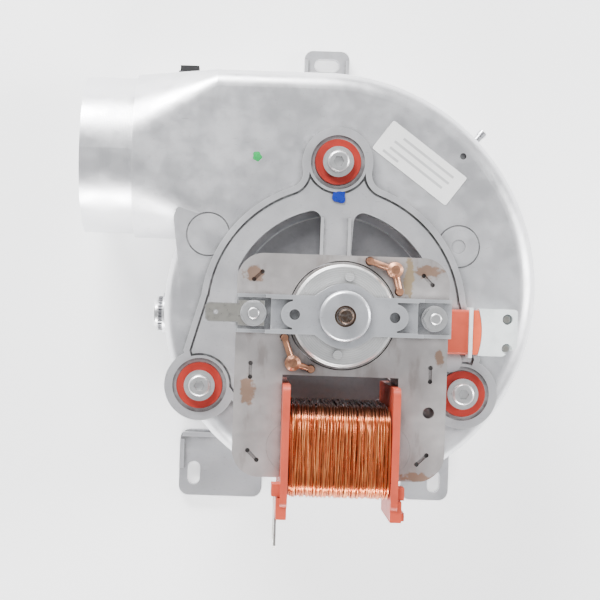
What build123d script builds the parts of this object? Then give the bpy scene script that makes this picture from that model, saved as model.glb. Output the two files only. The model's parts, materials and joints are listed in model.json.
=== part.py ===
from build123d import *
from math import cos, radians, sin
import os

# Flue-gas extraction fan of a gas boiler: scroll, impeller and shaded-pole motor.
# Units are millimetres. The rotation axis is Z, the back cover lies on Z = 0, the motor
# points to +Z, and the outlet spigot points to -X at the top.

BASE = (Align.CENTER, Align.CENTER, Align.MIN)

# Levels along the shaft
cover_top = 3.5
gasket_top = 4.3
face_z = 60.0
dish_z = 47.0
support_low = 60.4
plate_top = 63.6
bead_top = 64.2
stack_low = 84.0
stack_high = 108.0
pad_top = 113.5
shaft_end = 124.3

# Scroll
wall = 2.8
scroll_spiral = [(30, 80.4), (-30, 71.0), (-90, 65.4), (-202, 62.8)]
spiral_top_x = -4.0
duct_top_y = 89.5
duct_x = -45.0
duct_low_y = 27.6
tongue_x = -60.0
tongue_y = 36.0
tongue_end_y = 46.0
rim_r = 7.0
dish_r = 41.0

# Outlet spigot for a 60 mm flue pipe
spigot_y = 58.1
spigot_z = 32.0
spigot_r = 30.0
spigot_cast_r = 31.4
spigot_end = -95.0
spigot_length = 19.5
bore_r = 27.5

# Fixing points of the motor support
boss_pcd_r = 55.3
boss_angles = [90, 210, 330]
boss_r = 12.9
grommet_r = 8.3
sleeve_r = 3.6
screw_r = 2.0

# Motor support
ring_r = 46.4
window_outer_r = 38.5
window_inner_r = 21.0

# Motor
bolt_x = 29.7
stack_half = 35.3
stack_top_y = 20.0
stack_bottom_y = -54.4
stack_corner_r = 9.0
air_gap = 0.35
rotor_r = 17.85
shaft_r = 2.5
running_r = 2.56
window_x = 19.3
window_top_y = -20.2
core_y = -44.3
core_r = 8.3
core_x = 15.6

# Inlet and impeller
inlet_r = 33.0
wheel_r = 55.0
wheel_inner_r = 46.0
wheel_low = 11.0
wheel_high = 40.0
blade_count = 32

# Lugs of the back cover
top_lug = (-1.5, 100.8)
left_lug = (-50.65, -67.9)
right_lug = (47.75, -68.2)

cover_screw_points = [(-56.0, -32.3), (0.0, -67.0), (58.6, -33.8), (70.6, 15.6), (39.0, 69.6),
                      (-14.0, 84.2)]

os.makedirs("parts", exist_ok=True)


def polar(radius, angle):
    """Point at a radius and an angle in degrees from +X."""
    return (radius * cos(radians(angle)), radius * sin(radians(angle)))


def rod(radius, start, end, mode=Mode.ADD):
    """Cylinder between two points, added to or cut from the open part."""
    axis = Vector(end) - Vector(start)
    with Locations(Plane(origin=start, z_dir=axis.normalized())):
        Cylinder(radius, axis.length, align=BASE, mode=mode)


def disc(radius, low, high, at=(0.0, 0.0), mode=Mode.ADD):
    """Upright cylinder between two levels, added to or cut from the open part."""
    with Locations((at[0], at[1], low)):
        Cylinder(radius, high - low, align=BASE, mode=mode)


def block(x_range, y_range, z_range, mode=Mode.ADD):
    """Box between limits on each axis, added to or cut from the open part."""
    size = [high - low for low, high in (x_range, y_range, z_range)]
    with Locations((x_range[0], y_range[0], z_range[0])):
        Box(*size, align=(Align.MIN, Align.MIN, Align.MIN), mode=mode)


def washer(outer_r, inner_r, low, high, at=(0.0, 0.0)):
    """Flat ring between two levels."""
    disc(outer_r, low, high, at)
    disc(inner_r, low, high, at, Mode.SUBTRACT)


def scroll_outline(inset):
    """Closed outline of the scroll and its outlet duct, moved inwards by inset."""
    top = duct_top_y - inset
    left = duct_x + inset
    stretch = Line((left, top), (spiral_top_x, top))
    for angle, radius in scroll_spiral:
        stretch = TangentArc(stretch @ 1, polar(radius - inset, angle), tangent=stretch % 1)
    Polyline(stretch @ 1, (tongue_x + inset, tongue_y), (left, tongue_end_y - inset), (left, top))


def duct_section(x, y_range, z_range, front_r, back_r):
    """Rounded rectangle across the duct, for the loft to the round spigot."""
    with BuildSketch(Plane(origin=(x, 0, 0), x_dir=(0, 1, 0), z_dir=(1, 0, 0))) as section:
        with Locations((sum(y_range) / 2, sum(z_range) / 2)):
            Rectangle(y_range[1] - y_range[0], z_range[1] - z_range[0])
        fillet(vertices().group_by(Axis.Y)[-1], front_r)
        fillet(vertices().group_by(Axis.Y)[0], back_r)
    return section.sketch


def round_section(x, radius):
    """Section of the spigot with the same corners as the duct, so that the loft runs straight."""
    y_range = (spigot_y - radius, spigot_y + radius)
    z_range = (spigot_z - radius, spigot_z + radius)
    return duct_section(x, y_range, z_range, radius - 0.4, radius - 0.4)


def boss_points():
    """Centres of the three fixing points."""
    return [polar(boss_pcd_r, angle) for angle in boss_angles]


# Die-cast scroll with outlet spigot

with BuildPart() as scroll_housing:
    with BuildSketch(Plane.XY.offset(gasket_top)):
        with BuildLine():
            scroll_outline(0)
        make_face()
    extrude(amount=face_z - gasket_top)
    fillet(edges().filter_by(Axis.Z).sort_by(Axis.X)[0], 6.0)
    rim = faces().sort_by(Axis.Z)[-1].edges()
    fillet(rim.filter_by(lambda edge: edge.center().X > duct_x + 1 or edge.center().Y < 20), rim_r)
    for centre in boss_points():
        disc(boss_r - 0.3, gasket_top, face_z, centre)
    # Cast transition from the round spigot to the duct
    shoulder = spigot_end + spigot_length
    outside = duct_section(duct_x, (duct_low_y, duct_top_y), (gasket_top + 0.5, face_z), rim_r, 1.0)
    add(loft([round_section(shoulder, spigot_cast_r), outside]))
    block((tongue_x - 1, 0), (20, 95), (-5, gasket_top), Mode.SUBTRACT)
    rod(spigot_r, (spigot_end, spigot_y, spigot_z), (shoulder + 1, spigot_y, spigot_z))
    # Flow channel
    with BuildSketch(Plane.XY.offset(gasket_top)):
        with BuildLine():
            scroll_outline(wall)
        make_face()
    extrude(amount=face_z - wall - gasket_top, mode=Mode.SUBTRACT)
    inside = duct_section(duct_x + wall, (duct_low_y + wall, duct_top_y - wall),
                          (gasket_top + wall, face_z - wall), rim_r - wall, 0.5)
    add(loft([round_section(shoulder, bore_r + 0.5), inside]), mode=Mode.SUBTRACT)
    rod(bore_r, (spigot_end, spigot_y, spigot_z), (shoulder, spigot_y, spigot_z), Mode.SUBTRACT)
    # Dish for the cooling fan, with the shaft hole
    disc(dish_r + wall, dish_z - wall, face_z)
    disc(dish_r, dish_z, face_z, mode=Mode.SUBTRACT)
    disc(6.5, dish_z - wall, dish_z, mode=Mode.SUBTRACT)
    # Threaded pillars under the grommets
    for centre in boss_points():
        disc(6.0, 46.5, face_z - 1, centre)
        disc(screw_r - 0.35, 48.5, face_z, centre, Mode.SUBTRACT)
    # Threaded columns for the cover screws
    for centre in cover_screw_points:
        disc(4.2, gasket_top, 20, centre)
        disc(1.25, gasket_top, 16, centre, Mode.SUBTRACT)
    # Round pads on the front wall, each in a shallow groove
    for centre, radius in (((-46.6, 27.7), 7.6), ((45.6, 26.1), 7.4)):
        disc(radius + 0.6, face_z - 0.4, face_z + 1, centre, Mode.SUBTRACT)
        disc(radius, face_z - 1, face_z + 0.35, centre)
    disc(2.6, face_z, face_z + 1, (45.6, 26.1), Mode.SUBTRACT)
    # Small eye on the rim beside the pressure nipple
    disc(2.6, face_z - 5, face_z - 0.3, (46.3, 59.4))
    disc(1.2, face_z - 1.8, face_z, (46.3, 59.4), Mode.SUBTRACT)
    # Seats of the test plug, the duct plug and the pressure nipple
    rod(8.0, (-63.6, -2.4, 32), (-58.6, -2.4, 32))
    rod(4.6, (-63.7, -2.4, 32), (-57.0, -2.4, 32), Mode.SUBTRACT)
    rod(4.0, (-53.8, duct_top_y + 1, 32), (-53.8, 80, 32), Mode.SUBTRACT)
    rod(3.6, (*polar(82.4, 50.5), 20), (*polar(86.0, 50.5), 20))
    rod(1.5, (*polar(79, 50.5), 20), (*polar(88, 50.5), 20), Mode.SUBTRACT)
scroll_housing.part.label = "scroll_housing"
export_step(scroll_housing.part, "parts/scroll_housing.step")

# Back cover with inlet mouth and three slotted lugs

with BuildPart() as back_cover:
    with BuildSketch():
        with BuildLine():
            scroll_outline(0.3)
        make_face()
        with Locations((top_lug[0], 93.0)):
            RectangleRounded(18.4, 27.4, 3.5)
        with Locations((-39.6, -63.5)):
            RectangleRounded(34.0, 27.0, 4.0)
        with Locations((44.0, -61.5)):
            RectangleRounded(19.6, 29.0, 4.0)
        with Locations(*cover_screw_points):
            Circle(4.4)
        Circle(inlet_r, mode=Mode.SUBTRACT)
        with Locations(top_lug):
            SlotOverall(10.2, 5.3, mode=Mode.SUBTRACT)
        with Locations(left_lug):
            SlotOverall(9.4, 5.0, rotation=90, mode=Mode.SUBTRACT)
        with Locations(right_lug):
            SlotOverall(9.4, 5.0, rotation=90, mode=Mode.SUBTRACT)
    extrude(amount=cover_top)
    # Inlet mouth reaching into the eye of the wheel
    with BuildSketch(Plane.XZ):
        with BuildLine():
            Polyline((inlet_r, 0), (inlet_r, 10.2), (inlet_r + 2.2, 10.2), (inlet_r + 2.8, 6.0),
                     (inlet_r + 7.0, cover_top), (inlet_r + 7.0, 0), close=True)
        make_face()
    revolve(axis=Axis.Z)
    # Stiffening rims of the lugs
    block((-55.6, -42.0), (-52.8, -51.0), (1, 6.4))
    block((-56.6, -54.8), (-66.0, -54.0), (1, 5.2))
    block((-10.6, -9.2), (90.5, 103.0), (1, 4.6))
    block((6.2, 7.6), (90.5, 103.0), (1, 4.6))
    for centre in cover_screw_points:
        disc(1.6, 0, cover_top, centre, Mode.SUBTRACT)
        with Locations((*centre, 0)):
            Cone(3.2, 1.5, 1.7, align=BASE, mode=Mode.SUBTRACT)
back_cover.part.label = "back_cover"
export_step(back_cover.part, "parts/back_cover.step")

# Paper gasket between scroll and cover

with BuildPart() as housing_gasket:
    with BuildSketch(Plane.XY.offset(cover_top)):
        with BuildLine():
            scroll_outline(0.4)
        make_face()
        with BuildLine():
            scroll_outline(wall)
        make_face(mode=Mode.SUBTRACT)
        with Locations(*cover_screw_points):
            Circle(4.2)
        with Locations(*cover_screw_points):
            Circle(1.6, mode=Mode.SUBTRACT)
    extrude(amount=gasket_top - cover_top)
housing_gasket.part.label = "housing_gasket"
export_step(housing_gasket.part, "parts/housing_gasket.step")

# Countersunk screws of the cover

with BuildPart() as cover_screws:
    for centre in cover_screw_points:
        with Locations((*centre, 0.05)):
            Cone(3.05, 1.35, 1.6, align=BASE)
        disc(1.2, 0.5, 14.5, centre)
        with Locations((*centre, 0.05)):
            Box(3.6, 0.6, 0.7, align=BASE, mode=Mode.SUBTRACT)
            Box(0.6, 3.6, 0.7, align=BASE, mode=Mode.SUBTRACT)
cover_screws.part.label = "cover_screws"
export_step(cover_screws.part, "parts/cover_screws.step")

# Plugs and fittings of the scroll

with BuildPart() as test_plug:
    rod(4.5, (-58.4, -2.4, 32), (-65.4, -2.4, 32))
    with BuildSketch(Plane(origin=(-63.7, -2.4, 32), z_dir=(-1, 0, 0))):
        Circle(6.6)
        with PolarLocations(6.6, 30):
            Circle(0.35, mode=Mode.SUBTRACT)
        Circle(4.5, mode=Mode.SUBTRACT)
    extrude(amount=1.9)
test_plug.part.label = "test_plug"
export_step(test_plug.part, "parts/test_plug.step")

with BuildPart() as test_plug_cap:
    rod(5.2, (-65.6, -2.4, 32), (-67.4, -2.4, 32))
    cap_edge = edges().filter_by(GeomType.CIRCLE).sort_by(Axis.X)[0]
    fillet(cap_edge, 1.2)
    block((-68.0, -66.9), (-2.8, -2.0), (28.5, 35.5), Mode.SUBTRACT)
test_plug_cap.part.label = "test_plug_cap"
export_step(test_plug_cap.part, "parts/test_plug_cap.step")

with BuildPart() as duct_plug:
    with Locations((-53.8, duct_top_y + 0.05, 32)):
        Box(13.6, 2.0, 9.6, align=(Align.CENTER, Align.MIN, Align.CENTER))
    fillet(edges().filter_by(Axis.Y), 2.0)
    with Locations((-56.3, duct_top_y + 2.0, 32)):
        Box(7.2, 2.2, 7.2, align=(Align.CENTER, Align.MIN, Align.CENTER))
    rod(3.9, (-53.8, duct_top_y + 0.1, 32), (-53.8, 85.2, 32))
duct_plug.part.label = "duct_plug"
export_step(duct_plug.part, "parts/duct_plug.step")

with BuildPart() as pressure_nipple:
    rod(1.5, (*polar(80.5, 50.5), 20), (*polar(93.2, 50.5), 20))
    rod(1.8, (*polar(93.2, 50.5), 20), (*polar(95.2, 50.5), 20))
    rod(0.8, (*polar(80, 50.5), 20), (*polar(96, 50.5), 20), Mode.SUBTRACT)
pressure_nipple.part.label = "pressure_nipple"
export_step(pressure_nipple.part, "parts/pressure_nipple.step")

with BuildPart() as blank_label:
    with BuildSketch(Plane.XY.offset(face_z)):
        with Locations(Location((30.3, 56.4), -36.4)):
            RectangleRounded(34.4, 13.0, 0.8)
    extrude(amount=0.2)
blank_label.part.label = "blank_label"
export_step(blank_label.part, "parts/blank_label.step")

# Motor support: ring, spokes and three bosses in one casting


def shoulders(top_x, low_x):
    """Two wedges that lead from the ring down to the lower bosses."""
    for side in (-1, 1):
        Polygon((side * top_x, 5.5), (side * low_x, -15.2), (side * 47.9, -27.65), (0, 0), align=None)


def top_boss_corners(corners):
    """Corners where the top boss leaves the ring."""
    return corners.filter_by(lambda corner: 40 < corner.Y < 52)


def window(first, last):
    """Window between two spokes, a sector of a ring with straight sides."""
    with BuildLine() as rim_line:
        outer = CenterArc((0, 0), window_outer_r, first, last - first)
        inner = CenterArc((0, 0), window_inner_r, first + 6, last - first - 12)
        Line(outer @ 0, inner @ 0)
        Line(outer @ 1, inner @ 1)
    make_face(rim_line.edges())


with BuildPart() as motor_support:
    with BuildSketch(Plane.XY.offset(support_low)) as support_outer:
        Circle(ring_r + 2.2)
        shoulders(ring_r + 1.9, 54.2)
        with Locations(*boss_points()):
            Circle(boss_r)
        fillet(top_boss_corners(vertices()), 6.0)
    extrude(amount=bead_top - support_low)
    with BuildSketch(Plane.XY.offset(62.2)) as support_inner:
        Circle(ring_r)
        shoulders(ring_r - 0.2, 52.0)
        with Locations(*boss_points()):
            Circle(boss_r - 2.2)
        fillet(top_boss_corners(vertices()), 8.2)
        with Locations(*boss_points()):
            Circle(boss_r - 2.0, mode=Mode.SUBTRACT)
    extrude(amount=4, mode=Mode.SUBTRACT)
    with BuildSketch(Plane.XY.offset(62.0)) as support_plate:
        add(support_inner.sketch.moved(Location((0, 0, -0.2))))
        offset(amount=-0.8, kind=Kind.INTERSECTION)
    extrude(amount=plate_top - 62.0)
    with BuildSketch(Plane.XY.offset(support_low)):
        window(19, 80)
        window(98, 161)
        window(226, 314)
        fillet(vertices(), 3.5)
    extrude(amount=5, mode=Mode.SUBTRACT)
    # Ribs beside the windows
    for side in (-1, 1):
        for spoke in (90, 0, 180):
            with Locations(Location((0, 0, plate_top), spoke)):
                with Locations((28.0, side * 5.0, 0)):
                    Box(14.0, 1.1, 1.2, align=BASE)
    # Grommet seats: a counterbore above, a pocket below and a narrow waist between
    for centre in boss_points():
        disc(grommet_r + 1.6, 63.4, bead_top, centre, Mode.SUBTRACT)
        disc(grommet_r + 0.3, 62.8, bead_top, centre, Mode.SUBTRACT)
        disc(6.4, support_low, bead_top, centre, Mode.SUBTRACT)
    # Posts for the motor bolts and the hub with the shaft hole
    for side in (-1, 1):
        disc(5.6, plate_top - 1, 74.0, (side * bolt_x, 0))
        disc(screw_r - 0.1, support_low - 1, 75, (side * bolt_x, 0), Mode.SUBTRACT)
    disc(13.0, plate_top - 1, 66.0)
    disc(8.5, support_low - 1, 67, mode=Mode.SUBTRACT)
    # Foot that carries the connector
    disc(4.0, plate_top - 1, 64.4, (43.5, -16.0))
motor_support.part.label = "motor_support"
export_step(motor_support.part, "parts/motor_support.step")

# Soft grommets with metal sleeves and screws

with BuildPart() as grommets:
    for centre in boss_points():
        disc(grommet_r, 62.8, 65.4, centre)
        disc(6.4, 60.2, 62.8, centre)
        disc(sleeve_r, 60, 66, centre, Mode.SUBTRACT)
grommets.part.label = "grommets"
export_step(grommets.part, "parts/grommets.step")

with BuildPart() as grommet_sleeves:
    for centre in boss_points():
        washer(sleeve_r, screw_r + 0.1, face_z, 65.9, centre)
grommet_sleeves.part.label = "grommet_sleeves"
export_step(grommet_sleeves.part, "parts/grommet_sleeves.step")

with BuildPart() as grommet_washers:
    for centre in boss_points():
        washer(5.6, screw_r + 0.15, 65.9, 66.8, centre)
grommet_washers.part.label = "grommet_washers"
export_step(grommet_washers.part, "parts/grommet_washers.step")

with BuildPart() as grommet_screws:
    for centre in boss_points():
        disc(screw_r - 0.35, 49.5, 66.8, centre)
        with Locations((*centre, 66.8)):
            Cylinder(3.9, 2.2, align=BASE)
    fillet(edges().filter_by(GeomType.CIRCLE).group_by(Axis.Z)[-1], 0.9)
    for centre in boss_points():
        with BuildSketch(Plane.XY.offset(67.9)):
            with Locations(centre):
                RegularPolygon(2.0, 6)
        extrude(amount=3, mode=Mode.SUBTRACT)
grommet_screws.part.label = "grommet_screws"
export_step(grommet_screws.part, "parts/grommet_screws.step")

# Stator: laminated C-frame and the loose core bar that closes it

stack_mid_y = (stack_top_y + stack_bottom_y) / 2
stack_height = stack_top_y - stack_bottom_y
cleats = [((-29.7, 11.2), (-27.0, 13.8)), ((-30.0, -16.7), (-30.0, -21.3)),
          ((-30.1, -45.7), (-27.0, -48.8)), ((26.6, 14.1), (29.6, 11.1)),
          ((29.8, -16.4), (29.8, -21.0)), ((29.4, -45.5), (26.2, -48.6))]
shading_slots = [(8.5, 18.4), (18.6, 8.5), (-19.0, -7.9), (-10.0, -18.0)]
shading_joints = [(16.8, 15.7), (-16.1, -16.2)]


def core_outline(grow):
    """Bar with half-round ends, enlarged by grow."""
    with Locations((0, core_y)):
        Rectangle(2 * core_x, 2 * (core_r + grow))
    with Locations((-core_x, core_y), (core_x, core_y)):
        Circle(core_r + grow)


with BuildPart() as stator_stack:
    with BuildSketch(Plane.XY.offset(stack_low)):
        with Locations((0, stack_mid_y)):
            RectangleRounded(2 * stack_half, stack_height, stack_corner_r)
        Circle(rotor_r + air_gap, mode=Mode.SUBTRACT)
        with Locations((0, (window_top_y - 60) / 2)):
            Rectangle(2 * window_x, window_top_y + 60, mode=Mode.SUBTRACT)
        with Locations((-core_x, core_y), (core_x, core_y)):
            Circle(core_r + 0.05, mode=Mode.SUBTRACT)
        with Locations((-bolt_x, 0), (bolt_x, 0)):
            Circle(screw_r + 0.3, mode=Mode.SUBTRACT)
        with Locations((29.6, -31.4)):
            Circle(1.9, mode=Mode.SUBTRACT)
        with Locations(*shading_slots):
            Circle(1.5, mode=Mode.SUBTRACT)
    extrude(amount=stack_high - stack_low)
    for start, end in cleats:
        middle = (Vector(start) + Vector(end)) * 0.5
        run = Vector(end) - Vector(start)
        with BuildSketch(Plane.XY.offset(stack_high - 0.5)):
            with Locations(Location(middle, run.get_angle(Vector(1, 0, 0)) * (1 if run.Y > 0 else -1))):
                SlotCenterToCenter(run.length, 1.1)
        extrude(amount=1, mode=Mode.SUBTRACT)
        for dimple in (start, end):
            disc(0.75, stack_high - 1.4, stack_high + 1, dimple, Mode.SUBTRACT)
stator_stack.part.label = "stator_stack"
export_step(stator_stack.part, "parts/stator_stack.step")

with BuildPart() as coil_core:
    with BuildSketch(Plane.XY.offset(stack_low)):
        core_outline(0)
    extrude(amount=stack_high - stack_low)
coil_core.part.label = "coil_core"
export_step(coil_core.part, "parts/coil_core.step")

# Shading rings: closed copper loops through the slots of the poles

with BuildPart() as shading_rings:
    for near, far, joint in ((*shading_slots[0:2], shading_joints[0]),
                             (*shading_slots[2:4], shading_joints[1])):
        for foot in (near, far):
            disc(1.2, stack_low - 2.6, stack_high + 2.6, foot)
            rod(1.0, (*foot, stack_high + 1.4), (*joint, stack_high + 1.4))
        rod(1.0, (*near, stack_low - 1.4), (*far, stack_low - 1.4))
        # Brazed joint: a drop of copper where the two ends meet
        disc(2.6, stack_high + 0.1, stack_high + 2.6, joint)
        with Locations((*joint, stack_high + 2.6)):
            Cone(2.6, 1.5, 1.0, align=BASE)
shading_rings.part.label = "shading_rings"
export_step(shading_rings.part, "parts/shading_rings.step")

# Coil: bobbin, copper winding and blade terminals

coil_half = 16.8
flange_out = 19.2
with BuildPart() as bobbin:
    with BuildSketch(Plane.YZ.offset(-flange_out)):
        with Locations((core_y, 96)):
            Rectangle(19.4, 26.8)
    extrude(amount=2 * flange_out)
    for low in (-flange_out, coil_half):
        with BuildSketch(Plane.YZ.offset(low)):
            with Locations((-43.2, 96.2)):
                RectangleRounded(40.4, 43.6, 2.5)
        extrude(amount=flange_out - coil_half)
    # Feet of the two flanges
    block((-20.4, -16.9), (-67.0, -60.0), (81, 117.0))
    block((16.9, 20.6), (-66.8, -60.0), (90, 117.0))
    block((20.4, 22.0), (-66.8, -64.2), (96, 113.0))
    block((-22.0, -18.9), (-59.5, -55.5), (110, 116.5))
    block((18.9, 21.4), (-59.5, -55.5), (110, 116.5))
    # Hole for the core bar
    block((-25, 25), (core_y - core_r - 0.15, core_y + core_r + 0.15), (stack_low - 0.2, stack_high + 0.2),
          Mode.SUBTRACT)
    # Slots for the terminals
    for low in (84.0, 97.0):
        block((-20.5, -19.5), (-67.1, -61.0), (low, low + 6.3), Mode.SUBTRACT)
bobbin.part.label = "bobbin"
export_step(bobbin.part, "parts/bobbin.step")

with BuildPart() as winding:
    with BuildSketch(Plane.YZ.offset(-coil_half + 0.1)):
        with Locations((-45.0, 96.0)):
            RectangleRounded(31.0, 42.6, 7.5)
        with Locations((core_y, 96)):
            Rectangle(19.5, 26.9, mode=Mode.SUBTRACT)
    extrude(amount=2 * coil_half - 0.2)
winding.part.label = "winding"
export_step(winding.part, "parts/winding.step")

with BuildPart() as winding_terminals:
    for low in (84.0, 97.0):
        block((-20.4, -19.6), (-79.3, -61.1), (low, low + 6.3))
        with Locations(Plane(origin=(-20.5, -75.0, low + 3.15), z_dir=(1, 0, 0))):
            Cylinder(0.8, 2, align=BASE, mode=Mode.SUBTRACT)
    chamfer(edges().filter_by(Axis.X).group_by(Axis.Y)[0], 1.2)
winding_terminals.part.label = "winding_terminals"
export_step(winding_terminals.part, "parts/winding_terminals.step")

# Rotor: squirrel cage, laminated core and shaft

cage_angles = 17
with BuildPart() as rotor_core:
    disc(rotor_r, stack_low, stack_high)
    disc(shaft_r, stack_low, stack_high, mode=Mode.SUBTRACT)
    with BuildSketch(Plane.XY.offset(stack_low)):
        with PolarLocations(15.2, cage_angles):
            Circle(1.3)
    extrude(amount=stack_high - stack_low, mode=Mode.SUBTRACT)
rotor_core.part.label = "rotor_core"
export_step(rotor_core.part, "parts/rotor_core.step")

with BuildPart() as rotor_cage:
    for low, high in ((stack_low - 4, stack_low), (stack_high, stack_high + 4)):
        washer(17.0, 9.0, low, high)
    chamfer(edges().filter_by(GeomType.CIRCLE).group_by(Axis.Z)[-1], 0.8)
    with BuildSketch(Plane.XY.offset(stack_low)):
        with PolarLocations(15.2, cage_angles):
            Circle(1.3)
    extrude(amount=stack_high - stack_low)
    for angle in (83, 263):
        disc(1.5, stack_high + 3, stack_high + 5.4, polar(13.0, angle))
rotor_cage.part.label = "rotor_cage"
export_step(rotor_cage.part, "parts/rotor_cage.step")

with BuildPart() as shaft:
    disc(shaft_r, 22.0, shaft_end)
    chamfer(edges().filter_by(GeomType.CIRCLE).group_by(Axis.Z)[-1], 0.5)
    disc(2.0, 12.0, 22.0)
    chamfer(edges().filter_by(GeomType.CIRCLE).group_by(Axis.Z)[0], 0.4)
shaft.part.label = "shaft"
export_step(shaft.part, "parts/shaft.step")

with BuildPart() as rotor_spacers:
    washer(4.4, shaft_r, 78.2, 79.6)
    washer(4.4, shaft_r, 112.2, 113.4)
rotor_spacers.part.label = "rotor_spacers"
export_step(rotor_spacers.part, "parts/rotor_spacers.step")

# Bearing bridges at both ends of the stator


def bridge(pad_z, span_z, hub_z):
    """Cast bar with two end pads, a span over the rotor and a round hub."""
    for side in (-1, 1):
        with Locations((side * bolt_x, 0, pad_z[0])):
            Box(11.4, 12.8, pad_z[1] - pad_z[0], align=BASE)
    with Locations((0, 0, span_z[0])):
        Box(2 * stack_half - 0.6, 12.8, span_z[1] - span_z[0], align=BASE)
    disc(10.7, hub_z[0], hub_z[1])


with BuildPart() as front_bridge:
    bridge((stack_high, pad_top), (114.0, 118.2), (114.0, 118.2))
    for side in (-1, 1):
        # Leg between the end pad and the raised arm
        block(sorted((side * 20.4, side * 25.0)), (-6.4, 6.4), (stack_high, 118.2))
        # Sloping shoulder from the arm to the hub
        with BuildSketch(Plane.XY.offset(114.0)):
            Polygon((side * 10.0, -6.2), (side * 5.4, -9.3), (side * 5.4, 9.3), (side * 10.0, 6.2),
                    align=None)
        extrude(amount=4.2)
        # Recess between two side flanges, rounded around the blind hole
        block(sorted((side * 17.0, side * 25.8)), (-4.9, 4.9), (116.2, 119.0), Mode.SUBTRACT)
        block(sorted((side * 24.0, side * 36.0)), (-5.2, 5.2), (pad_top, 119.0), Mode.SUBTRACT)
        block(sorted((side * 25.8, side * 36.0)), (-7.0, 7.0), (pad_top + 1.6, 119.0), Mode.SUBTRACT)
        disc(screw_r + 0.3, stack_high, pad_top, (side * bolt_x, 0), Mode.SUBTRACT)
        disc(4.4, 116.0, 118.2, (side * 16.3, 0))
        disc(1.75, 115.6, 119.0, (side * 16.3, 0), Mode.SUBTRACT)
    # Domed bearing seat
    disc(8.3, 118.0, 120.9)
    fillet(edges().filter_by(GeomType.CIRCLE).group_by(Axis.Z)[-1], 1.2)
    disc(3.5, 118.0, 122.0, mode=Mode.SUBTRACT)
    disc(5.4, 113.0, 119.9, mode=Mode.SUBTRACT)
    disc(8.6, 113.0, 115.2, mode=Mode.SUBTRACT)
front_bridge.part.label = "front_bridge"
export_step(front_bridge.part, "parts/front_bridge.step")

with BuildPart() as rear_bridge:
    bridge((74.0, stack_low), (74.0, 77.2), (70.0, 77.2))
    for side in (-1, 1):
        disc(screw_r + 0.3, 74.0, stack_low, (side * bolt_x, 0), Mode.SUBTRACT)
    disc(5.4, 71.0, 78.0, mode=Mode.SUBTRACT)
    disc(3.4, 69.0, 72.0, mode=Mode.SUBTRACT)
    disc(8.6, 76.0, 78.0, mode=Mode.SUBTRACT)
rear_bridge.part.label = "rear_bridge"
export_step(rear_bridge.part, "parts/rear_bridge.step")

with BuildPart() as front_bearing:
    washer(5.3, running_r, 114.6, 119.8)
    chamfer(edges().filter_by(GeomType.CIRCLE).filter_by(lambda edge: edge.radius > 5), 0.8)
front_bearing.part.label = "front_bearing"
export_step(front_bearing.part, "parts/front_bearing.step")

with BuildPart() as rear_bearing:
    washer(5.3, running_r, 71.1, 76.8)
    chamfer(edges().filter_by(GeomType.CIRCLE).filter_by(lambda edge: edge.radius > 5), 0.8)
rear_bearing.part.label = "rear_bearing"
export_step(rear_bearing.part, "parts/rear_bearing.step")

with BuildPart() as bearing_retainers:
    washer(8.5, 4.6, 113.9, 114.5)
    washer(8.5, 4.6, 76.9, 77.5)
bearing_retainers.part.label = "bearing_retainers"
export_step(bearing_retainers.part, "parts/bearing_retainers.step")

# Motor bolts, nuts and earth tab

tab_thickness = 0.8
with BuildPart() as motor_bolts:
    disc(screw_r - 0.1, 62.5, 118.2, (-bolt_x, 0))
    disc(screw_r - 0.1, 62.5, 117.6, (bolt_x, 0))
    chamfer(edges().filter_by(GeomType.CIRCLE).filter_by(lambda edge: edge.center().Z > 117), 0.4)
motor_bolts.part.label = "motor_bolts"
export_step(motor_bolts.part, "parts/motor_bolts.step")

with BuildPart() as motor_nuts:
    for side, seat in ((-1, pad_top + tab_thickness), (1, pad_top)):
        with BuildSketch(Plane.XY.offset(seat)):
            with Locations((side * bolt_x, 0)):
                RegularPolygon(3.5, 6, major_radius=False)
                Circle(screw_r, mode=Mode.SUBTRACT)
        extrude(amount=3.2)
        washer(4.3, screw_r, seat, seat + 0.6, (side * bolt_x, 0))
motor_nuts.part.label = "motor_nuts"
export_step(motor_nuts.part, "parts/motor_nuts.step")

with BuildPart() as earth_tab:
    with BuildSketch(Plane.XY.offset(pad_top)):
        with Locations((-30.4, 0)):
            Rectangle(8.8, 8.4)
        with Locations((-39.6, 0)):
            Rectangle(11.8, 6.3)
        chamfer(vertices().group_by(Axis.X)[0], 1.0)
        with Locations((-bolt_x, 0)):
            Circle(screw_r + 0.1, mode=Mode.SUBTRACT)
        with Locations((-42.0, 0)):
            Circle(0.7, mode=Mode.SUBTRACT)
    extrude(amount=tab_thickness)
earth_tab.part.label = "earth_tab"
export_step(earth_tab.part, "parts/earth_tab.step")

# Plug connector beside the motor

connector_y = (-13.1, 3.0)
with BuildPart() as connector_holder:
    block((36.2, 48.6), connector_y, (64.4, 70.0))
    fillet(edges().filter_by(Axis.X).group_by(Axis.Z)[-1], 1.0)
    block((45.0, 49.9), (-12.0, 2.0), (65.3, 69.4))
connector_holder.part.label = "connector_holder"
export_step(connector_holder.part, "parts/connector_holder.step")

with BuildPart() as connector_seal:
    with BuildSketch(Plane.XY.offset(65.3)):
        with BuildLine():
            Polyline((52.0, -13.0), (50.1, -13.0), (50.1, 3.0), (52.0, 3.0))
            ThreePointArc((52.0, 3.0), (53.3, -5.0), (52.0, -13.0))
        make_face()
    extrude(amount=5.0)
connector_seal.part.label = "connector_seal"
export_step(connector_seal.part, "parts/connector_seal.step")

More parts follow.
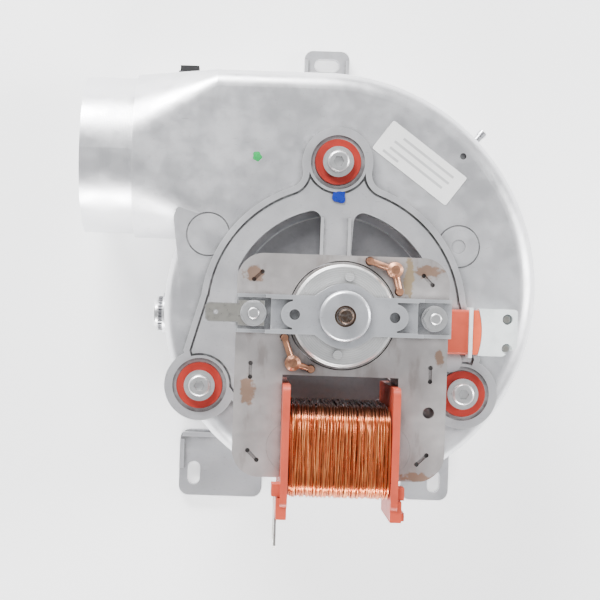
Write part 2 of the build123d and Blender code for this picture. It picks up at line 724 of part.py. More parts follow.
with BuildPart() as connector_shell:
    block((48.7, 50.0), (-14.2, 3.9), (64.4, 71.0))
    block((45.0, 50.05), (-12.05, 2.05), (65.25, 69.5), Mode.SUBTRACT)
    with BuildSketch(Plane.XY.offset(64.4)):
        with BuildLine():
            Polyline((52.1, -13.4), (61.0, -13.4), (66.2, -10.0), (66.2, 3.6), (52.1, 3.6))
            ThreePointArc((52.1, 3.6), (53.45, -5.0), (52.1, -13.4))
        make_face()
    extrude(amount=5.8)
    fillet(edges().filter_by(Axis.Z).group_by(Axis.X)[-1], 1.2)
    block((54.0, 65.0), (-11.0, 1.0), (62.0, 64.5))
    block((49.9, 54.0), (-12.6, 2.6), (64.4, 65.2))
    for hole_y in (0.0, -10.6):
        disc(1.9, 66.0, 71.0, (62.6, hole_y), Mode.SUBTRACT)
connector_shell.part.label = "connector_shell"
export_step(connector_shell.part, "parts/connector_shell.step")

with BuildPart() as connector_contacts:
    for hole_y in (0.0, -10.6):
        disc(1.3, 66.0, 68.2, (62.6, hole_y))
connector_contacts.part.label = "connector_contacts"
export_step(connector_contacts.part, "parts/connector_contacts.step")

# Shaft seal and cooling fan in the dish

with BuildPart() as shaft_seal:
    washer(10.0, running_r, dish_z, dish_z + 1.5)
shaft_seal.part.label = "shaft_seal"
export_step(shaft_seal.part, "parts/shaft_seal.step")

with BuildPart() as cooling_fan:
    washer(36.0, shaft_r, 57.0, 58.2)
    with PolarLocations(24.0, 12):
        with Locations((0, 0, 50.4)):
            Box(23.0, 1.0, 6.7, align=BASE)
    washer(7.0, shaft_r, 49.6, 58.0)
cooling_fan.part.label = "cooling_fan"
export_step(cooling_fan.part, "parts/cooling_fan.step")

# Impeller: hub, back disc, curved blades and shroud ring

with BuildPart() as impeller_hub:
    washer(9.0, shaft_r, 22.0, wheel_high)
    washer(12.0, shaft_r, wheel_high - 3.0, wheel_high)
impeller_hub.part.label = "impeller_hub"
export_step(impeller_hub.part, "parts/impeller_hub.step")

with BuildPart() as impeller_back:
    washer(wheel_r, 9.0, wheel_high, wheel_high + 1.0)
    washer(11.9, shaft_r, wheel_high, wheel_high + 1.0)
impeller_back.part.label = "impeller_back"
export_step(impeller_back.part, "parts/impeller_back.step")


def curved_blade(angle):
    """Section of one forward-curved blade, a thin strip between two arcs."""
    with BuildLine() as section:
        faces_of_blade = []
        for lag in (0, 0.9):
            turn = angle - lag
            faces_of_blade.append(ThreePointArc(polar(wheel_inner_r, turn), polar(51.5, turn + 0.8),
                                                polar(wheel_r - 0.5, turn + 5.5)))
        Line(faces_of_blade[0] @ 0, faces_of_blade[1] @ 0)
        Line(faces_of_blade[0] @ 1, faces_of_blade[1] @ 1)
    make_face(section.edges())


with BuildPart() as impeller_blades:
    with BuildSketch(Plane.XY.offset(wheel_low + 1.0)):
        for blade in range(blade_count):
            curved_blade(blade * 360 / blade_count)
    extrude(amount=wheel_high - wheel_low - 1.0)
impeller_blades.part.label = "impeller_blades"
export_step(impeller_blades.part, "parts/impeller_blades.step")

with BuildPart() as impeller_shroud:
    washer(wheel_r, wheel_inner_r, wheel_low, wheel_low + 1.0)
impeller_shroud.part.label = "impeller_shroud"
export_step(impeller_shroud.part, "parts/impeller_shroud.step")

with BuildPart() as impeller_nut:
    with BuildSketch(Plane.XY.offset(15.6)):
        RegularPolygon(4.0, 6, major_radius=False)
        Circle(2.0, mode=Mode.SUBTRACT)
    extrude(amount=4.0)
impeller_nut.part.label = "impeller_nut"
export_step(impeller_nut.part, "parts/impeller_nut.step")

with BuildPart() as impeller_washer:
    washer(6.0, 2.0, 19.6, 21.9)
impeller_washer.part.label = "impeller_washer"
export_step(impeller_washer.part, "parts/impeller_washer.step")
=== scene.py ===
import bpy
import json
import math
import random
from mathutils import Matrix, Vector


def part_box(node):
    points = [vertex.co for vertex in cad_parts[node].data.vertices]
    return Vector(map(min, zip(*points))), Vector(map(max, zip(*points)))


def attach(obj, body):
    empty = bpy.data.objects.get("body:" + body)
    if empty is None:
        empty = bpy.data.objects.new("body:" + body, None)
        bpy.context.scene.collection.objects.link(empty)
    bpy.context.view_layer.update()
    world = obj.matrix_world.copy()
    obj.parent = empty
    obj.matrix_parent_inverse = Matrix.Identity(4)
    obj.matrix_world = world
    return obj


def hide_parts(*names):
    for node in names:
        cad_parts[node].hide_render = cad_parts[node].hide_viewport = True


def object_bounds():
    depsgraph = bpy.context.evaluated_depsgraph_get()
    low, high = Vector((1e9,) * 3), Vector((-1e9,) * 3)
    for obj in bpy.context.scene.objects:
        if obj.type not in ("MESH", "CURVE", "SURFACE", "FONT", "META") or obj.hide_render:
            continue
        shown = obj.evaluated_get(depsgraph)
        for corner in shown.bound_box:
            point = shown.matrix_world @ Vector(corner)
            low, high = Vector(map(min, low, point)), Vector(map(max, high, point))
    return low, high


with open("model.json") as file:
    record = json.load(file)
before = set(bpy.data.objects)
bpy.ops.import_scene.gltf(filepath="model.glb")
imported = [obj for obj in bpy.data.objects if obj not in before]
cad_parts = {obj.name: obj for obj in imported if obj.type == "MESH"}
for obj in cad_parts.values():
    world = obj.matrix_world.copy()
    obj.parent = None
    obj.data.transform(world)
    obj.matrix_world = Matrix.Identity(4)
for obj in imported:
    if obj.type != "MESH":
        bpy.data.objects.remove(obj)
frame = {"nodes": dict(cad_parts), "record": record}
cad_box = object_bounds()

MM = 0.001
TO_MM = (1000, 1000, 1000)
WHITE = (1.0, 1.0, 1.0, 1.0)
FULL_TURN = 2 * math.pi

# Inputs of the Mix node in its colour mode
MIX_FACTOR, MIX_BASE, MIX_OVER, MIX_RESULT = 0, 6, 7, 2

# Places and sizes in millimetres
SPIGOT_TURNED_LENGTH = 19.6
LABEL_TURN = math.radians(-36.4)
LABEL_BARS = [
    # distance across the label, half length, middle along the label
    (3.4, 11.5, 1.5),
    (0.6, 12.5, 0.5),
    (-2.2, 12.0, 0.0),
    (-4.6, 3.4, -10.0),
]
WIRE_RADIUS = 0.31
WIRE_LAYER_PITCH = 0.42
WIRE_LAYERS = 3
COIL_CORNER = 7.2
GREEN_DOT_XY = (-29.5, 56.9)
BLUE_DOT_XY = (0.8, 42.9)
BLUE_DOT_BELOW_SUPPORT_TOP = 9.9
DOT_SINK = 0.19
DOT_HEIGHT = 0.22

# Colours
RUST = (0.36, 0.20, 0.12)
HEAT = (0.46, 0.33, 0.17)


def middle(node):
    """Centre of a CAD node's box, in millimetres."""
    low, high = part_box(node)
    return (low + high) / (2 * MM)


def low_mm(node):
    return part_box(node)[0] / MM


def high_mm(node):
    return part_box(node)[1] / MM


class Finish:
    """A node material that is being built. Its coordinates are in millimetres."""

    def __init__(self, name, color, metallic=0.0, roughness=0.5, **sockets):
        self.material = bpy.data.materials.new(name)
        self.material.use_nodes = True
        self.tree = self.material.node_tree
        self.shader = self.tree.nodes["Principled BSDF"]
        self.color = (*color, 1.0)
        self.shader.inputs["Base Color"].default_value = self.color
        self.shader.inputs["Metallic"].default_value = metallic
        self.shader.inputs["Roughness"].default_value = roughness
        for socket, value in sockets.items():
            self.shader.inputs[socket.replace("_", " ")].default_value = value
        self.color_out = None
        self.normal_out = None
        source = self.tree.nodes.new("ShaderNodeTexCoord")
        self.place = self.vector("MULTIPLY", source.outputs["Object"], TO_MM)
        self.facing = self.tree.nodes.new("ShaderNodeNewGeometry").outputs["Normal"]

    def feed(self, socket, value):
        """Link a socket to an output, or set its value."""
        if isinstance(value, bpy.types.NodeSocket):
            self.tree.links.new(value, socket)
        else:
            socket.default_value = value

    def vector(self, operation, first, second):
        node = self.tree.nodes.new("ShaderNodeVectorMath")
        node.operation = operation
        self.feed(node.inputs[0], first)
        self.feed(node.inputs[1], second)
        return node.outputs["Value" if operation in ("LENGTH", "DOT_PRODUCT") else "Vector"]

    def math(self, operation, first, second=0.5):
        node = self.tree.nodes.new("ShaderNodeMath")
        node.operation = operation
        self.feed(node.inputs[0], first)
        self.feed(node.inputs[1], second)
        return node.outputs[0]

    def axis(self, name):
        """One coordinate in millimetres."""
        node = self.tree.nodes.new("ShaderNodeSeparateXYZ")
        self.feed(node.inputs[0], self.place)
        return node.outputs[name]

    def noise(self, size, detail=3.0, stretch=(1, 1, 1), roughness=0.55):
        """Noise from 0 to 1 with features of about size millimetres."""
        node = self.tree.nodes.new("ShaderNodeTexNoise")
        scaled = self.vector("DIVIDE", self.place, tuple(size * part for part in stretch))
        self.feed(node.inputs["Vector"], scaled)
        node.inputs["Scale"].default_value = 1.0
        node.inputs["Detail"].default_value = detail
        node.inputs["Roughness"].default_value = roughness
        return node.outputs["Fac"]

    def waves(self, size, direction="X", wobble=0.4):
        """Parallel ridges across one direction, size millimetres apart."""
        node = self.tree.nodes.new("ShaderNodeTexWave")
        node.bands_direction = direction
        self.feed(node.inputs["Vector"], self.vector("DIVIDE", self.place, (size, size, size)))
        node.inputs["Scale"].default_value = 0.314
        node.inputs["Distortion"].default_value = wobble
        node.inputs["Detail"].default_value = 2.0
        return node.outputs["Fac"]

    def ramp(self, value, low, high, start=0.0, end=1.0):
        """Value stretched so that low gives start and high gives end."""
        node = self.tree.nodes.new("ShaderNodeMapRange")
        node.interpolation_type = "SMOOTHSTEP"
        self.feed(node.inputs["Value"], value)
        node.inputs["From Min"].default_value = low
        node.inputs["From Max"].default_value = high
        node.inputs["To Min"].default_value = start
        node.inputs["To Max"].default_value = end
        return node.outputs["Result"]

    def spot(self, centre, radius, soft=0.5, size=(1, 1, 1), ragged=0.0):
        """Mask that is 1 inside a patch around a point in millimetres."""
        offset = self.vector("SUBTRACT", self.place, tuple(centre))
        offset = self.vector("DIVIDE", offset, size)
        distance = self.vector("LENGTH", offset, (0, 0, 0))
        if ragged:
            unevenness = self.ramp(self.noise(2.2, 4), 0.25, 0.75, -ragged, ragged)
            distance = self.math("ADD", distance, unevenness)
        return self.ramp(distance, radius - soft, radius + soft, 1.0, 0.0)

    def tint(self, mask, color, strength=1.0):
        """Lay a colour over the base where the mask is high."""
        node = self.tree.nodes.new("ShaderNodeMix")
        node.data_type = "RGBA"
        factor = mask if strength == 1.0 else self.math("MULTIPLY", mask, strength)
        self.feed(node.inputs[MIX_FACTOR], factor)
        self.feed(node.inputs[MIX_BASE], self.color_out or self.color)
        node.inputs[MIX_OVER].default_value = (*color, 1.0)
        self.color_out = node.outputs[MIX_RESULT]
        return self

    def gloss(self, value, low, high):
        """Roughness that runs from low to high with a value from 0 to 1."""
        self.feed(self.shader.inputs["Roughness"], self.ramp(value, 0.0, 1.0, low, high))
        return self

    def relief(self, height, depth, strength=1.0):
        """Bump of a depth in millimetres, on top of the relief made before."""
        node = self.tree.nodes.new("ShaderNodeBump")
        node.inputs["Strength"].default_value = strength
        node.inputs["Distance"].default_value = depth * MM
        self.feed(node.inputs["Height"], height)
        if self.normal_out:
            self.feed(node.inputs["Normal"], self.normal_out)
        self.normal_out = node.outputs["Normal"]
        return self

    def hidden(self, distance, inside=False):
        """Mask that is 1 in corners narrower than distance or, with inside, on outer edges."""
        node = self.tree.nodes.new("ShaderNodeAmbientOcclusion")
        node.samples = 6
        node.inside = inside
        node.only_local = inside
        node.inputs["Distance"].default_value = distance * MM
        return self.ramp(node.outputs["AO"], 0.95, 0.35, 0.0, 1.0)

    def shade_grime_and_wear(self, grime_shade=(0.10, 0.095, 0.09), grime_shade_strength=0.6, wear=None, reach=2.6):
        """Painted shade and grime in the corners and, with a wear colour, rubbed outer edges."""
        patchy = self.ramp(self.noise(3.0, 4), 0.3, 0.6, 0.55, 1.0)
        # Corner darkening: painted shade, mottled like grime
        self.tint(self.math("MULTIPLY", self.hidden(reach), patchy), grime_shade, grime_shade_strength)
        if wear:
            rubbed = self.math("MULTIPLY", self.hidden(0.7, True), patchy)
            self.tint(rubbed, wear, 0.7)
        return self

    def done(self):
        if self.color_out:
            self.tree.links.new(self.color_out, self.shader.inputs["Base Color"])
        if self.normal_out:
            self.tree.links.new(self.normal_out, self.shader.inputs["Normal"])
        return self.material


# Metals


def cast_alloy(name, color, stain=0.35, grain=0.5):
    """Die-cast aluminium: soft grey with flow marks, stains, specks and a fine grain."""
    finish = Finish(name, color, metallic=0.9, roughness=0.4)
    pale = tuple(min(1.0, part * 1.18) for part in color)
    dark = tuple(part * 0.55 for part in color)
    finish.tint(finish.ramp(finish.noise(30, 5), 0.3, 0.7), pale, 0.8)
    finish.tint(finish.ramp(finish.noise(9, 6, (1, 2.4, 1)), 0.5, 0.85), dark, stain)
    finish.tint(finish.ramp(finish.noise(4, 6, (1.6, 1, 1)), 0.55, 0.75), pale, 0.5)
    finish.tint(finish.ramp(finish.noise(0.9, 3), 0.6, 0.8), dark, 0.35)
    finish.tint(finish.ramp(finish.noise(1.5, 6, (3, 0.4, 1)), 0.66, 0.74), dark, 0.5)
    # Painted shade and grime in the corners, with rubbed outer edges
    finish.shade_grime_and_wear((0.08, 0.075, 0.07), 0.75, wear=(0.95, 0.95, 0.96), reach=3.2)
    finish.gloss(finish.noise(9, 5), 0.32, 0.46)
    finish.relief(finish.noise(7.0, 3), 0.05, 0.4)
    finish.relief(finish.noise(0.6 * grain + 0.1, 3), 0.025, 0.5)
    return finish


def turned(finish):
    """Fine circles left by a lathe around the shaft axis."""
    circles = finish.tree.nodes.new("ShaderNodeTexWave")
    circles.wave_type = "RINGS"
    circles.rings_direction = "Z"
    finish.feed(circles.inputs["Vector"], finish.place)
    circles.inputs["Scale"].default_value = 0.45
    circles.inputs["Distortion"].default_value = 0.3
    finish.tint(finish.ramp(circles.outputs["Fac"], 0.6, 1.0), (0.55, 0.55, 0.54), 0.35)
    finish.relief(circles.outputs["Fac"], 0.04, 0.6)
    return finish.done()


def scroll_finish():
    """Cast alloy whose spigot end is turned bright, with fine tool rings."""
    finish = cast_alloy("cast_scroll", (0.76, 0.76, 0.78))
    along = finish.axis("X")
    shoulder = low_mm("scroll_housing").x + SPIGOT_TURNED_LENGTH
    on_spigot = finish.ramp(along, shoulder - 0.3, shoulder + 0.3, 1.0, 0.0)
    finish.tint(on_spigot, (0.86, 0.86, 0.88), 0.85)
    rings = finish.math("MULTIPLY", finish.waves(0.55, "X", 0.2), on_spigot)
    finish.relief(rings, 0.02, 0.6)
    cast_roughness = finish.ramp(finish.noise(9, 5), 0.3, 0.7, 0.34, 0.46)
    smoother = finish.math("MULTIPLY", on_spigot, 0.02)
    finish.feed(finish.shader.inputs["Roughness"],
                finish.math("SUBTRACT", cast_roughness, smoother))
    return finish.done()


def lamination(name, patches=()):
    """Stamped electrical steel: grey, brownish patches, sheet edges on its sides."""
    finish = Finish(name, (0.52, 0.49, 0.48), metallic=0.75, roughness=0.42)
    finish.tint(finish.ramp(finish.noise(14, 5), 0.35, 0.65), (0.64, 0.61, 0.60))
    finish.tint(finish.ramp(finish.noise(5, 6, (1, 3, 1)), 0.54, 0.72), (0.36, 0.31, 0.29), 0.6)
    for centre, size, color in patches:
        finish.tint(finish.spot(centre, 1.0, 0.25, size, 0.45), color, 0.8)
    sheets = finish.waves(0.5, "Z", 0.1)
    side = finish.tree.nodes.new("ShaderNodeSeparateXYZ")
    finish.feed(side.inputs[0], finish.facing)
    flank = finish.ramp(finish.math("ABSOLUTE", side.outputs["Z"]), 0.3, 0.7, 1.0, 0.0)
    sheet_gaps = finish.math("MULTIPLY", finish.ramp(sheets, 0.55, 0.95), flank)
    finish.tint(sheet_gaps, (0.13, 0.12, 0.12), 0.7)
    finish.relief(finish.math("MULTIPLY", sheets, flank), 0.06, 0.8)
    # Painted shade and grime in the corners
    finish.shade_grime_and_wear((0.07, 0.06, 0.055), 0.75)
    finish.relief(finish.noise(0.5, 3), 0.01, 0.4)
    finish.gloss(finish.noise(4, 5), 0.3, 0.5)
    return finish.done()


def bright_steel(name, color=(0.72, 0.73, 0.74), low=0.16, high=0.34):
    """Zinc-plated or drawn steel with faint wear."""
    finish = Finish(name, color, metallic=1.0)
    dull = tuple(part * 0.75 for part in color)
    finish.tint(finish.ramp(finish.noise(1.6, 4), 0.5, 0.85), dull, 0.5)
    # Painted shade and grime in the corners, with rubbed outer edges
    finish.shade_grime_and_wear((0.05, 0.05, 0.05), 0.6, wear=(0.97, 0.97, 0.98), reach=0.7)
    finish.gloss(finish.noise(1.2, 4), low, high)
    finish.relief(finish.noise(1.5, 2), 0.006, 0.3)
    return finish.done()


def shaft_steel():
    """Ground steel with a brown film on the end that stands in the bearing."""
    finish = Finish("ground_shaft", (0.52, 0.50, 0.49), metallic=1.0)
    finish.tint(finish.ramp(finish.noise(1.6, 4), 0.5, 0.85), (0.40, 0.38, 0.36), 0.5)
    film = finish.spot((0, 0, high_mm("shaft").z), 3.4, 0.6)
    patchy = finish.ramp(finish.noise(0.9, 4), 0.3, 0.6, 0.6, 1.0)
    finish.tint(finish.math("MULTIPLY", film, patchy), (0.15, 0.085, 0.05), 0.9)
    finish.gloss(finish.noise(1.2, 4), 0.18, 0.34)
    finish.relief(finish.noise(0.5, 3), 0.01, 0.4)
    return finish.done()


def wound_copper():
    """Enamelled copper wire: tone and gloss change from turn to turn."""
    finish = Finish("wound_copper", (0.66, 0.17, 0.055), metallic=0.9,
                    Coat_Weight=0.3, Coat_Roughness=0.15)
    turn = finish.noise(0.7, 2, (1, 20, 20))
    finish.tint(finish.ramp(turn, 0.45, 0.62), (0.78, 0.28, 0.10))
    finish.tint(finish.ramp(finish.noise(0.6, 2, (1, 9, 9)), 0.5, 0.7), (0.36, 0.085, 0.03), 0.75)
    # The upper bend lies in the shade of the core
    top = high_mm("winding").y
    unevenness = finish.math("MULTIPLY", finish.noise(0.6, 2, (1, 9, 9)), 1.6)
    ragged = finish.math("ADD", finish.axis("Y"), unevenness)
    finish.tint(finish.ramp(ragged, top - 3.4, top - 2.0), (0.07, 0.025, 0.015), 0.85)
    finish.gloss(turn, 0.18, 0.36)
    return finish.done()


def copper(name):
    """Bare copper with dull, darkened stretches."""
    finish = Finish(name, (0.72, 0.36, 0.22), metallic=0.95)
    finish.tint(finish.ramp(finish.noise(2.5, 5), 0.45, 0.7), (0.42, 0.20, 0.13), 0.8)
    finish.gloss(finish.noise(1.5, 4), 0.25, 0.5)
    finish.relief(finish.noise(0.8, 3), 0.03, 0.6)
    return finish.done()


# Plastics, rubber, paper and paint


def moulded(name, color, low=0.32, high=0.5, depth=0.02, **sockets):
    """Moulded plastic with a fine texture and slightly uneven tone."""
    finish = Finish(name, color, **sockets)
    dark = tuple(part * 0.84 for part in color)
    pale = tuple(min(1, part * 1.15) for part in color)
    finish.tint(finish.ramp(finish.noise(7, 4), 0.4, 0.7), dark)
    finish.tint(finish.ramp(finish.noise(1.1, 3), 0.6, 0.85), pale, 0.5)
    finish.gloss(finish.noise(2.5, 4), low, high)
    finish.relief(finish.noise(0.5, 3), depth, 0.5)
    return finish.done()


def label_film():
    """White film with a faint weave, creases and plain grey bars."""
    finish = Finish("label_film", (0.88, 0.88, 0.87), roughness=0.4)
    cos_turn, sin_turn = math.cos(LABEL_TURN), math.sin(LABEL_TURN)
    offset = finish.vector("SUBTRACT", finish.place, tuple(middle("blank_label")))
    along = finish.vector("DOT_PRODUCT", offset, (cos_turn, sin_turn, 0))
    across = finish.vector("DOT_PRODUCT", offset, (-sin_turn, cos_turn, 0))
    for height, half_length, bar_middle in LABEL_BARS:
        off_line = finish.math("ABSOLUTE", finish.math("SUBTRACT", across, height))
        off_middle = finish.math("ABSOLUTE", finish.math("SUBTRACT", along, bar_middle))
        within_width = finish.ramp(off_line, 0.35, 0.6, 1.0, 0.0)
        within_length = finish.ramp(off_middle, half_length, half_length + 0.3, 1.0, 0.0)
        bar = finish.math("MULTIPLY", within_width, within_length)
        finish.tint(bar, (0.34, 0.34, 0.35), 0.7)
    finish.tint(finish.ramp(finish.noise(6, 4), 0.5, 0.8), (0.78, 0.79, 0.80), 0.5)
    finish.relief(finish.noise(3.0, 3), 0.04, 0.5)
    return finish.done()


def paper():
    """Dull grey-brown gasket paper with short fibres."""
    finish = Finish("gasket_paper", (0.20, 0.19, 0.17), roughness=0.85)
    finish.tint(finish.ramp(finish.noise(0.6, 3), 0.4, 0.7), (0.28, 0.26, 0.22))
    finish.relief(finish.noise(0.4, 3), 0.03, 0.6)
    return finish.done()


# Rust and a heat mark on the front of the stator: centre, size and colour of each
stack_top = high_mm("stator_stack")
stack_low = low_mm("stator_stack")
stack_patches = [
    ((stack_low.x + 4.5, stack_top.y - 45.7, stack_top.z), (2.2, 4.2, 3.0), RUST),
    ((stack_low.x + 5.5, stack_top.y - 7.0, stack_top.z), (3.0, 2.6, 3.0), RUST),
    ((stack_top.x - 7.0, stack_top.y - 4.6, stack_top.z), (4.6, 2.0, 3.0), RUST),
    ((stack_top.x - 2.6, stack_top.y - 33.0, stack_top.z), (1.3, 2.8, 3.0), RUST),
    ((stack_top.x - 8.5, stack_low.y + 1.4, stack_top.z), (5.0, 1.5, 3.0), RUST),
    ((stack_top.x - 13.6, stack_top.y - 7.0, stack_top.z), (1.7, 6.4, 3.0), HEAT),
]

# One finish for each material slot of the CAD nodes
FINISHES = {
    "scroll_alloy": scroll_finish(),
    "cover_alloy": cast_alloy("cast_cover", (0.72, 0.72, 0.74)).done(),
    "support_alloy": cast_alloy("cast_support", (0.76, 0.76, 0.78), 0.4).done(),
    "bridge_alloy": cast_alloy("cast_bridge", (0.72, 0.73, 0.76), 0.4, 0.4).done(),
    "gasket_paper": paper(),
    "zinc_steel": bright_steel("bright_zinc", (0.93, 0.93, 0.93), 0.3, 0.42),
    "dark_steel": bright_steel("blackened_steel", (0.09, 0.09, 0.10), 0.35, 0.6),
    "black_rubber": moulded("black_rubber", (0.012, 0.012, 0.013), 0.45, 0.7, 0.03),
    "nipple_steel": bright_steel("drawn_tube", (0.60, 0.61, 0.63), 0.25, 0.4),
    "label_film": label_film(),
    "red_silicone": moulded("red_silicone", (0.34, 0.022, 0.014), 0.3, 0.5, 0.02,
                            Subsurface_Weight=0.05),
    "lamination_steel": lamination("lamination_steel", stack_patches),
    "core_steel": lamination("core_steel"),
    "shading_copper": copper("shading_copper"),
    "winding_copper": wound_copper(),
    "red_nylon": moulded("red_nylon", (0.52, 0.07, 0.035), 0.34, 0.5, 0.02,
                         Subsurface_Weight=0.05),
    "orange_seal": moulded("orange_seal", (0.74, 0.11, 0.04), 0.35, 0.5, 0.02),
    "white_nylon": moulded("white_nylon", (0.80, 0.85, 0.85), 0.25, 0.4, 0.015),
    "tinned_metal": bright_steel("tinned_brass", (0.76, 0.73, 0.66), 0.22, 0.4),
    "cage_alloy": turned(cast_alloy("cast_cage", (0.88, 0.88, 0.86), 0.1, 0.4)),
    "ground_steel": shaft_steel(),
    "spacer_nylon": moulded("spacer_nylon", (0.75, 0.74, 0.70)),
    "sintered_bronze": bright_steel("sintered_bronze", (0.16, 0.10, 0.07), 0.4, 0.65),
    "spring_steel": bright_steel("spring_steel", (0.40, 0.40, 0.41), 0.25, 0.4),
    "graphite_seal": moulded("graphite_seal", (0.05, 0.05, 0.05), 0.5, 0.7),
    "fan_sheet": bright_steel("fan_sheet", (0.22, 0.22, 0.23), 0.4, 0.6),
    "hub_steel": bright_steel("turned_hub", (0.58, 0.58, 0.60), 0.22, 0.38),
    "impeller_sheet": cast_alloy("aluminised_sheet", (0.60, 0.61, 0.63), 0.3, 0.8).done(),
}

slot_of = {part["node"]: part["material_slot"] for part in frame["record"]["subparts"]}
for node_name, node in frame["nodes"].items():
    for index in range(max(1, len(node.data.materials))):
        if index < len(node.data.materials):
            node.data.materials[index] = FINISHES[slot_of[node_name]]
        else:
            node.data.materials.append(FINISHES[slot_of[node_name]])


def add_piece(name, vertices, faces, finish, body, slot, smooth=True):
    """New mesh piece in millimetres that rides on a body."""
    mesh = bpy.data.meshes.new(name)
    mesh.from_pydata([Vector(v) * MM for v in vertices], [], faces)
    mesh.update()
    mesh.materials.append(finish)
    if smooth:
        mesh.polygons.foreach_set("use_smooth", [True] * len(mesh.polygons))
    piece = bpy.data.objects.new(name, mesh)
    bpy.context.collection.objects.link(piece)
    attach(piece, body)
    return piece


# Copper winding: closed turns around the core, in three layers


def loop_point(half_y, half_z, corner, share):
    """Point on a rounded rectangle, share of the way round it, and its outward direction."""
    straight_y = half_y - corner
    straight_z = half_z - corner
    quarter = corner * math.pi / 2
    runs = [2 * straight_y, quarter, 2 * straight_z, quarter] * 2
    rest = share * sum(runs)
    index = 0
    while rest > runs[index] and index < 7:
        rest -= runs[index]
        index += 1
    turn = (index // 2) * math.pi / 2
    if index % 2 == 0:
        half = straight_y if index % 4 == 0 else straight_z
        reach = half_z if index % 4 == 0 else half_y
        local = Vector((-half + rest, reach))
        normal = Vector((0, 1))
    else:
        flat = straight_y if index % 4 == 1 else straight_z
        reach = straight_z if index % 4 == 1 else straight_y
        angle = math.pi / 2 - rest / corner
        normal = Vector((math.cos(angle), math.sin(angle)))
        local = Vector((flat, reach)) + normal * corner
    cos_turn, sin_turn = math.cos(-turn), math.sin(-turn)

    def turned_round(vector):
        return Vector((vector.x * cos_turn - vector.y * sin_turn,
                       vector.x * sin_turn + vector.y * cos_turn))

    return turned_round(local), turned_round(normal)


def winding_turns():
    """Wires side by side over the coil's length, the outer layer less even."""
    rng = random.Random(11)
    low, high = low_mm("winding"), high_mm("winding")
    centre = (low + high) / 2
    half = (high - low) / 2
    steps = 56
    sides = 6
    end_gap = WIRE_RADIUS + 0.02
    first_x = low.x + WIRE_RADIUS + 0.05
    span = half.x * 2 - 2 * WIRE_RADIUS - 0.1
    vertices, faces = [], []
    for layer in range(WIRE_LAYERS):
        outer = layer == 0
        inset = WIRE_RADIUS + 0.02 + layer * WIRE_LAYER_PITCH
        count = 50 if outer else 54
        for turn in range(count):
            start_x = first_x + span * (turn + 0.5) / count
            phase = rng.uniform(0, 6.28)
            swing = rng.uniform(0.1, 0.75 if outer else 0.15)
            lift = rng.uniform(0.0, 0.22)
            skew = rng.uniform(-0.7, 0.7) if outer and rng.random() < 0.4 else 0.0
            base = len(vertices)
            for step in range(steps):
                share = step / steps
                point, normal = loop_point(half.y - inset - lift, half.z - inset - lift,
                                           COIL_CORNER - inset, share)
                drift = (swing * math.sin(FULL_TURN * share * 2 + phase)
                         + skew * math.sin(FULL_TURN * share))
                x = min(max(start_x + drift, low.x + end_gap), high.x - end_gap)
                for side in range(sides):
                    angle = FULL_TURN * side / sides
                    out = normal * (WIRE_RADIUS * math.cos(angle))
                    vertices.append((x + WIRE_RADIUS * math.sin(angle),
                                     centre.y + point.x + out.x,
                                     centre.z + point.y + out.y))
            for step in range(steps):
                here = base + step * sides
                after = base + ((step + 1) % steps) * sides
                for side in range(sides):
                    beside = (side + 1) % sides
                    faces.append((here + side, here + beside, after + beside, after + side))
    return vertices, faces


turns = add_piece("winding_turns", *winding_turns(), FINISHES["winding_copper"],
                  "root", "winding_copper")
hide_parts("winding")


# Core under the turns in a dark painted-shade colour, so that no gap shows between them


def rounded_sleeve(low, high, corner, steps=48):
    """Open tube along X with a rounded rectangle as its section."""
    vertices, faces = [], []
    centre = (low + high) / 2
    half = (high - low) / 2
    for x in (low.x, high.x):
        for step in range(steps):
            point, _ = loop_point(half.y, half.z, corner, step / steps)
            vertices.append((x, centre.y + point.x, centre.z + point.y))
    for step in range(steps):
        after = (step + 1) % steps
        faces.append((step, after, steps + after, steps + step))
    return vertices, faces


bed_inset = Vector((0.05, 1.5, 1.5))
bed_mesh = rounded_sleeve(low_mm("winding") + bed_inset, high_mm("winding") - bed_inset, 5.9)
# Its dark colour is painted shade seen through the gaps between the turns
shade_bed_finish = moulded("coil_shadow", (0.16, 0.05, 0.025), 0.5, 0.7)
add_piece("winding_bed", *bed_mesh, shade_bed_finish, "root", "winding_copper")


# Inspection paint


def paint_dot(name, centre, radius, finish, seed):
    """Thin drop of paint with an uneven outline, domed in the middle."""
    rng = random.Random(seed)
    spokes, rings = 28, 4
    bumps = [(rng.uniform(0.03, 0.1), rng.randint(2, 5), rng.uniform(0, 6.28)) for _ in range(4)]
    vertices = [(centre[0], centre[1], centre[2] + DOT_HEIGHT)]
    faces = []
    for ring in range(1, rings + 1):
        share = ring / rings
        for spoke in range(spokes):
            angle = FULL_TURN * spoke / spokes
            wobble = sum(size * math.sin(angle * order + phase) for size, order, phase in bumps)
            reach = radius * share * (1 + wobble * share)
            height = DOT_HEIGHT * (1 - share ** 2)
            vertices.append((centre[0] + reach * math.cos(angle),
                             centre[1] + reach * math.sin(angle),
                             centre[2] + height))
    for spoke in range(spokes):
        after = (spoke + 1) % spokes
        faces.append((0, 1 + spoke, 1 + after))
        for ring in range(rings - 1):
            inner = 1 + ring * spokes
            outer = inner + spokes
            faces.append((inner + spoke, outer + spoke, outer + after, inner + after))
    return add_piece(name, vertices, faces, finish, "root", "label_film")


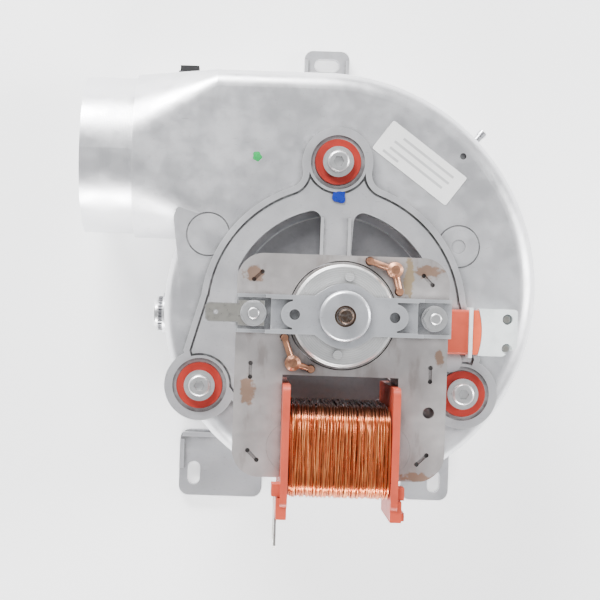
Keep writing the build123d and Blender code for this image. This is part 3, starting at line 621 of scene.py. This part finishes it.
green_paint = moulded("green_paint", (0.01, 0.34, 0.08), 0.2, 0.35)
blue_paint = moulded("blue_paint", (0.01, 0.03, 0.28), 0.2, 0.35)
green_z = high_mm("blank_label").z - DOT_SINK
blue_z = high_mm("motor_support").z - BLUE_DOT_BELOW_SUPPORT_TOP
paint_dot("paint_dot_green", (*GREEN_DOT_XY, green_z), 1.7, green_paint, 3)
paint_dot("paint_dot_blue", (*BLUE_DOT_XY, blue_z), 2.5, blue_paint, 5)

# Floor, light and camera

FLOOR_GAP = 0.0004

bpy.ops.mesh.primitive_plane_add(size=9.0, location=(0, 0, cad_box[0][2] - FLOOR_GAP))
floor = bpy.context.active_object
floor.name = "studio_floor"
floor_finish = Finish("pale_floor", (0.97, 0.97, 0.97), roughness=0.7,
                      Emission_Color=WHITE, Emission_Strength=0.9)
floor_finish.tint(floor_finish.ramp(floor_finish.noise(60, 3), 0.3, 0.8), (0.95, 0.95, 0.955))
floor.data.materials.append(floor_finish.done())


def area_light(name, location, target, size, power):
    """Soft rectangular light that faces the target."""
    light = bpy.data.lights.new(name, "AREA")
    light.shape = "RECTANGLE"
    light.size, light.size_y = size
    light.energy = power
    lamp = bpy.data.objects.new(name, light)
    lamp.location = location
    lamp.rotation_euler = (Vector(target) - Vector(location)).to_track_quat("-Z", "Y").to_euler()
    bpy.context.collection.objects.link(lamp)


light_target = (0, 0.01, 0.06)
area_light("key", (-0.35, 0.85, 0.55), light_target, (0.6, 0.25), 30)
area_light("fill", (0.9, 0.1, 0.5), light_target, (0.25, 0.6), 12)
area_light("low", (-0.15, -0.9, 0.4), light_target, (0.6, 0.2), 18)

world = bpy.data.worlds.new("studio")
world.use_nodes = True
background = world.node_tree.nodes["Background"]
background.inputs["Color"].default_value = (0.95, 0.97, 1.0, 1.0)
background.inputs["Strength"].default_value = 0.42
bpy.context.scene.world = world

# The camera looks straight down the shaft from the motor side, a little rolled
camera_data = bpy.data.cameras.new("camera")
camera_data.sensor_width = 36
camera_data.lens = 80.2
camera_data.shift_x = 0.104
camera_data.shift_y = -0.0118
camera = bpy.data.objects.new("camera", camera_data)
camera.location = (-0.03506, 0.0064, 0.552)
camera.rotation_euler = (0, 0, math.radians(1.9))
bpy.context.collection.objects.link(camera)
bpy.context.scene.camera = camera
